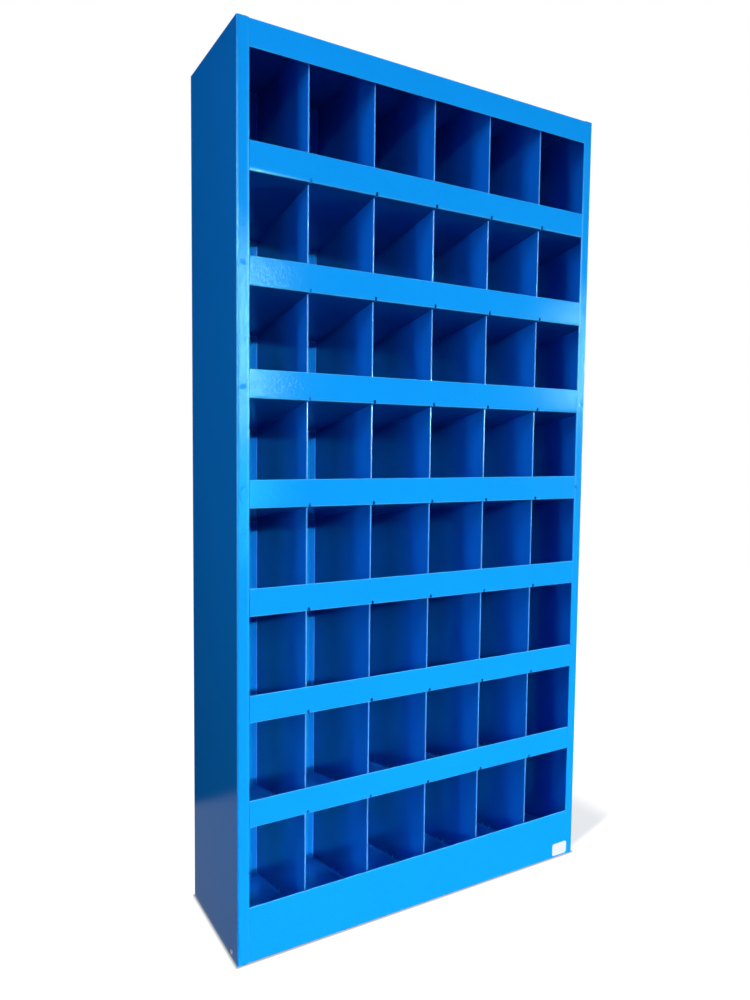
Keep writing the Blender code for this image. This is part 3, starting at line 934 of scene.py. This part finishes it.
def seat_rivet(pattern, name, place, outward, paint):
    """A copy of a rivet head, turned to face outward, seated on a face."""
    twin = copy_of(pattern, name, (0, 0, 0))
    twin.data.transform(Vector(outward).to_track_quat("Z", "Y").to_matrix().to_4x4())
    twin.data.transform(Matrix.Translation(place))
    return dress(twin, paint, "panel_paint")


def blank_label():
    """Small white film label with round corners, on the right end of the plinth."""
    middle = (LABEL_LOW + LABEL_HIGH) / 2
    size = LABEL_HIGH - LABEL_LOW
    label = start_sheet("blank_label", (middle.x, FRONT, middle.z), size.x, size.z, (pi / 2, 0, 0))
    bpy.ops.mesh.select_all(action="SELECT")
    bpy.ops.mesh.bevel(offset=LABEL_CORNER, segments=6, affect="VERTICES")
    bpy.ops.object.mode_set(mode="OBJECT")
    film = label.modifiers.new("film", "SOLIDIFY")
    film.thickness = LABEL_THICKNESS
    film.offset = 1
    bpy.ops.object.modifier_apply(modifier=film.name)
    return label


# Assembly

def build_frame_sheets():
    for sign, side in ((-1, "left"), (1, "right")):
        panel = side_panel(f"folded_{side}_side", sign)
        dress(panel, FRAME_PAINT, "panel_paint", f"{side}_side_panel")
        coat_inside(panel, sign, DIVIDER_PAINT)
    dress(top_panel(), FRAME_PAINT, "panel_paint", "top_panel")
    dress(plinth(), FRAME_PAINT, "panel_paint", "plinth")
    dress(back_panel(), FRAME_PAINT, "panel_paint", "back_panel")


def build_shelves():
    """The top shelf is modelled, and the six under it are copies."""
    first = lipped_shelf()
    for number, bend in enumerate(BENDS[1:-1], start=2):
        twin = copy_of(first, f"folded_shelf_{number}", (0, 0, bend - BENDS[0]))
        dress(twin, SHELF_PAINT, "shelf_paint", f"shelf_{number}")
    highlight_left_fold(first)
    dress(first, SHELF_PAINT, "shelf_paint", "shelf_1")
    dress(bottom_shelf(), SHELF_PAINT, "shelf_paint", "bottom_shelf")


def build_dividers():
    """One divider is modelled for each height of row, and the others are copies."""
    tops = [TOP - SHEET - FIT] + [bend - FIT for bend in BENDS[:-1]]
    patterns = {}
    for row, (bottom, top) in enumerate(zip(BENDS, tops), start=1):
        kind = "flat" if row == 1 else round(top - bottom, 4)
        for column, x in enumerate(COLUMNS, start=1):
            name = f"folded_divider_r{row}c{column}"
            if kind not in patterns:
                patterns[kind] = (divider(name, x, bottom, top, row > 1), x, bottom)
                piece = patterns[kind][0]
            else:
                made, at_x, at_bottom = patterns[kind]
                piece = copy_of(made, name, (x - at_x, 0, bottom - at_bottom))
            dress(piece, DIVIDER_PAINT, "divider_paint", f"divider_r{row}c{column}")


def build_rivets():
    """Heads on the stiles, at the feet, on the rear flanges and on the top row's dividers."""
    small = round_head("rivet_pattern", *SMALL_HEAD)
    stud = round_head("stud_pattern", *FOOT_HEAD)
    button = round_head("button_pattern", *BUTTON_HEAD)
    boss = round_head("boss_pattern", *BOSS_HEAD)
    boss.data.transform(Matrix.Diagonal(BOSS_STRETCH))
    left = (-OPENING_HALF - BOSS_INSET, FRONT, MIDDLE_BEND + BOSS_RISE)
    right = (OPENING_HALF + BUTTON_INSET, FRONT, MIDDLE_BEND + BUTTON_RISE)
    seat_rivet(boss, "stile_rivet_left", left, (0, -1, 0), FRAME_PAINT)
    seat_rivet(button, "stile_rivet_right", right, (0, -1, 0), FRAME_PAINT)
    for sign, side in ((-1, "left"), (1, "right")):
        foot = (sign * HALF_WIDTH, FRONT + FOOT_RIVET_DEPTH, FOOT_RIVET_HEIGHT)
        seat_rivet(stud, f"foot_rivet_{side}", foot, (sign, 0, 0), RIVET_METAL)
        flange = sign * (HALF_WIDTH - SIDE_REAR_FLANGE / 2)
        for number, bend in enumerate(BENDS, start=1):
            rear = (flange, REAR, bend + REAR_RIVET_RISE)
            seat_rivet(small, f"rear_rivet_{side}_{number}", rear, (0, 1, 0), FRAME_PAINT)
    for column, x in enumerate(COLUMNS, start=1):
        high = (x - DIVIDER_HEM / 2, TAB_MIDDLE - TOP_RIVET_SHIFT, TOP - TOP_RIVET_DROP)
        seat_rivet(small, f"divider_rivet_c{column}", high, (-1, 0, 0), DIVIDER_PAINT)
    for pattern in (small, stud, button, boss):
        bpy.data.objects.remove(pattern, do_unlink=True)


def build_pieces():
    build_frame_sheets()
    build_shelves()
    build_dividers()
    build_rivets()
    dress(blank_label(), LABEL_FILM, "panel_paint")


# Studio

def stage_plane(name, centre, turn, size, material):
    """A flat piece of the set, which is not part of the object."""
    bpy.ops.object.select_all(action="DESELECT")
    bpy.ops.mesh.primitive_plane_add(size=1, location=centre, rotation=turn)
    plane = bpy.context.object
    plane.name = name
    plane.scale = (size[0], size[1], 1)
    bpy.ops.object.transform_apply(location=False, rotation=False, scale=True)
    plane.data.materials.append(material)
    return plane


def empty_material(name):
    material = bpy.data.materials.new(name)
    material.use_nodes = True
    material.node_tree.nodes.clear()
    return material, material.node_tree


def seen_directly(tree):
    """1 for camera, glossy and transmission rays, 0 for the light that falls on the object."""
    path = add_node(tree, "ShaderNodeLightPath")
    seen = calc(tree, "MAXIMUM", path.outputs["Is Camera Ray"], path.outputs["Is Glossy Ray"])
    return calc(tree, "MAXIMUM", seen, path.outputs["Is Transmission Ray"])


def contact_clearance(tree, place):
    """0 under the object's edge, 1 a little way off it."""
    beside = vector_calc(tree, "SUBTRACT", vector_calc(tree, "ABSOLUTE", place), (HALF_WIDTH, REAR, 0))
    gap = vector_calc(tree, "LENGTH", vector_calc(tree, "MAXIMUM", beside))
    return ramp(tree, gap, low=0.0, high=CONTACT_REACH)


def cast_shadow(tree, place):
    """Soft shadow that runs back from the object's right front foot and fades away."""
    away = vector_calc(tree, "SUBTRACT", place, (HALF_WIDTH, FRONT, 0))
    out = apart(tree, away)["X"]
    begun = ramp(tree, out, low=-SHADOW_START, high=SHADOW_START)
    ended = ramp(tree, out, low=SHADOW_REACH / 2, high=SHADOW_REACH)
    kept = calc(tree, "SUBTRACT", 1.0, ramp(tree, vector_calc(tree, "LENGTH", away), *SHADOW_FADE))
    near_foot = calc(tree, "MULTIPLY", calc(tree, "SUBTRACT", begun, ended), kept)
    inside = ramp(tree, vector_calc(tree, "DOT_PRODUCT", away, SHADOW_SIDE), *SHADOW_EDGE)
    return calc(tree, "MULTIPLY", inside, near_foot)


def pale_floor():
    """White floor that runs into the white background and keeps the shadow near the object."""
    material, tree = empty_material("pale_floor")
    place = object_place(tree)
    # Painted contact shadow along the object's edge and a painted soft shadow beside its right foot.
    clear = contact_clearance(tree, place)
    white = calc(tree, "SUBTRACT", 1.0, calc(tree, "MULTIPLY", cast_shadow(tree, place), SHADOW_DEPTH))
    seen = seen_directly(tree)
    tone = blend(tree, clear, FLOOR_CONTACT_SHADE, FLOOR_PAPER)
    paper = add_node(tree, "ShaderNodeBsdfDiffuse", {"Color": blend(tree, seen, FLOOR_BOUNCE, tone)})
    bright = calc(tree, "MULTIPLY_ADD", clear, 1.0 - CONTACT_LIGHT, CONTACT_LIGHT)
    strength = calc(tree, "MULTIPLY", calc(tree, "MULTIPLY", seen, white), bright)
    lift = add_node(tree, "ShaderNodeEmission", {"Strength": strength})
    both = add_node(tree, "ShaderNodeAddShader", {0: paper.outputs[0], 1: lift.outputs[0]})
    add_node(tree, "ShaderNodeOutputMaterial", {"Surface": both.outputs[0]})
    stage_plane("studio_floor", (0, 0, -FLOOR_DROP), (0, 0, 0), FLOOR_SIZE, material)


def hung_cloth(name, shade, centre, turn, size):
    """A plane beside the set that glows with a cloth's shade and only reflections see: a painted reflection
    of a plain cloth, as a photographer hangs one.
    """
    material, tree = empty_material(name)
    cloth = add_node(tree, "ShaderNodeEmission", {"Color": (*shade, 1.0), "Strength": 1.0})
    add_node(tree, "ShaderNodeOutputMaterial", {"Surface": cloth.outputs[0]})
    flag = stage_plane(name, centre, turn, size, material)
    flag.visible_camera = False
    flag.visible_diffuse = False
    flag.visible_transmission = False
    flag.visible_shadow = False


def softbox(name, centre, target, size, power, spread=180, tint=WHITE):
    """Rectangular lamp turned towards a target."""
    lamp = bpy.data.lights.new(name, "AREA")
    lamp.shape = "RECTANGLE"
    lamp.size, lamp.size_y = size
    lamp.energy = power
    lamp.color = tint
    lamp.spread = radians(spread)
    box = bpy.data.objects.new(name, lamp)
    box.location = centre
    box.rotation_euler = (Vector(target) - Vector(centre)).to_track_quat("-Z", "Y").to_euler()
    bpy.context.collection.objects.link(box)
    return box


def gleam(name, centre, target, size, power, tint):
    """Narrow lamp that shows only in the gloss of the folds."""
    lamp = softbox(name, centre, target, size, power, tint=tint)
    lamp.visible_diffuse = False


def white_world():
    """White where it is seen, dim where it lights the object."""
    world = bpy.data.worlds.new("white_studio")
    bpy.context.scene.world = world
    world.use_nodes = True
    tree = world.node_tree
    tree.nodes.clear()
    level = add_node(tree, "ShaderNodeMapRange",
                     {"Value": seen_directly(tree), "To Min": WORLD_LIGHT, "To Max": 1.0}).outputs["Result"]
    sky = add_node(tree, "ShaderNodeBackground", {"Color": (1, 1, 1, 1), "Strength": level})
    add_node(tree, "ShaderNodeOutputWorld", {"Surface": sky.outputs[0]})


def hang_cloths():
    upright, sideways, flat = (pi / 2, 0, 0), (pi / 2, 0, pi / 2), (0, 0, 0)
    hung_cloth("cloth_rear_left", CLOTH_DARK, (-2.4, 0.58, 2.0), upright, (4.0, 4.0))
    hung_cloth("cloth_rear_right", CLOTH_DARK, (2.452, REAR + CLOTH_GAP, 2.0), upright, (4.0, 4.0))
    hung_cloth("cloth_front", CLOTH_DARK, (1.5, -4.2, 3.4), upright, (9.0, 6.8))
    hung_cloth("cloth_right", CLOTH_DARK, (4.4, 0.75, 3.4), sideways, (10.5, 6.8))
    hung_cloth("cloth_on_front_floor", CLOTH_DARK, (1.0, FRONT - 2.0, CLOTH_LIFT), flat, (7.0, 4.0))
    hung_cloth("cloth_on_left_floor", CLOTH_GREY, (-2.489, 0.2, CLOTH_LIFT), flat, (4.073, 0.8))


def set_lamps():
    softbox("low_key", centre=(-1.5, -14.0, 4.7), target=(0.0, FRONT, -0.1), size=(1.2, 0.4),
            power=52, spread=36)
    softbox("low_lift", centre=(-0.5, -9.0, 4.5), target=(0.0, FRONT, -0.6), size=(0.8, 0.4),
            power=3, spread=20)
    softbox("right_key", centre=(10.7, -5.5, 1.7), target=(0.0, FRONT, -0.3), size=(1.0, 1.0),
            power=160, spread=60)
    softbox("left_key", centre=(-4.6, -2.2, 0.85), target=(0.0, FRONT, 0.9), size=(0.6, 1.2),
            power=3, spread=60, tint=PALE_COOL)
    softbox("top_light", centre=(0.0, 0.0, 6.0), target=(0.0, 0.0, TOP), size=(1.0, 1.0),
            power=17, spread=60)
    rear_fill = softbox("rear_fill", centre=(5.6, 6.0, 2.6), target=(0.0, REAR, 0.9), size=(2.0, 2.0),
                        power=125, spread=60)
    rear_fill.visible_glossy = False
    softbox("left_fill", centre=(-3.3, -1.2, 2.6), target=(-0.45, 0.0, 2.0), size=(0.75, 1.2),
            power=11, spread=100, tint=COOL)
    gleam("tall_gleam", centre=(0.27, -2.05, 1.50), target=(-0.45, -0.14, 1.2), size=(0.08, 0.80),
          power=6.0, tint=WHITE)
    gleam("right_gleam", centre=(1.92, -1.60, 1.50), target=(0.43, -0.14, 1.2), size=(0.10, 0.55),
          power=3.0, tint=PALE_AQUA)
    gleam("low_gleam", centre=(0.27, -2.05, 0.80), target=(-0.45, -0.14, 0.9), size=(0.12, 0.52),
          power=2.0, tint=AQUA)


def photo_camera():
    """Camera at the photograph's viewpoint."""
    lens = bpy.data.cameras.new("photo_camera")
    lens.sensor_width = SENSOR
    lens.lens = LENS
    camera = bpy.data.objects.new("photo_camera", lens)
    camera.location = CAMERA_PLACE
    camera.rotation_euler = [radians(angle) for angle in CAMERA_TURN]
    bpy.context.collection.objects.link(camera)
    bpy.context.scene.camera = camera


bpy.context.scene.view_settings.view_transform = "Standard"
photo_camera()
white_world()
pale_floor()
hang_cloths()
set_lamps()
build_pieces()
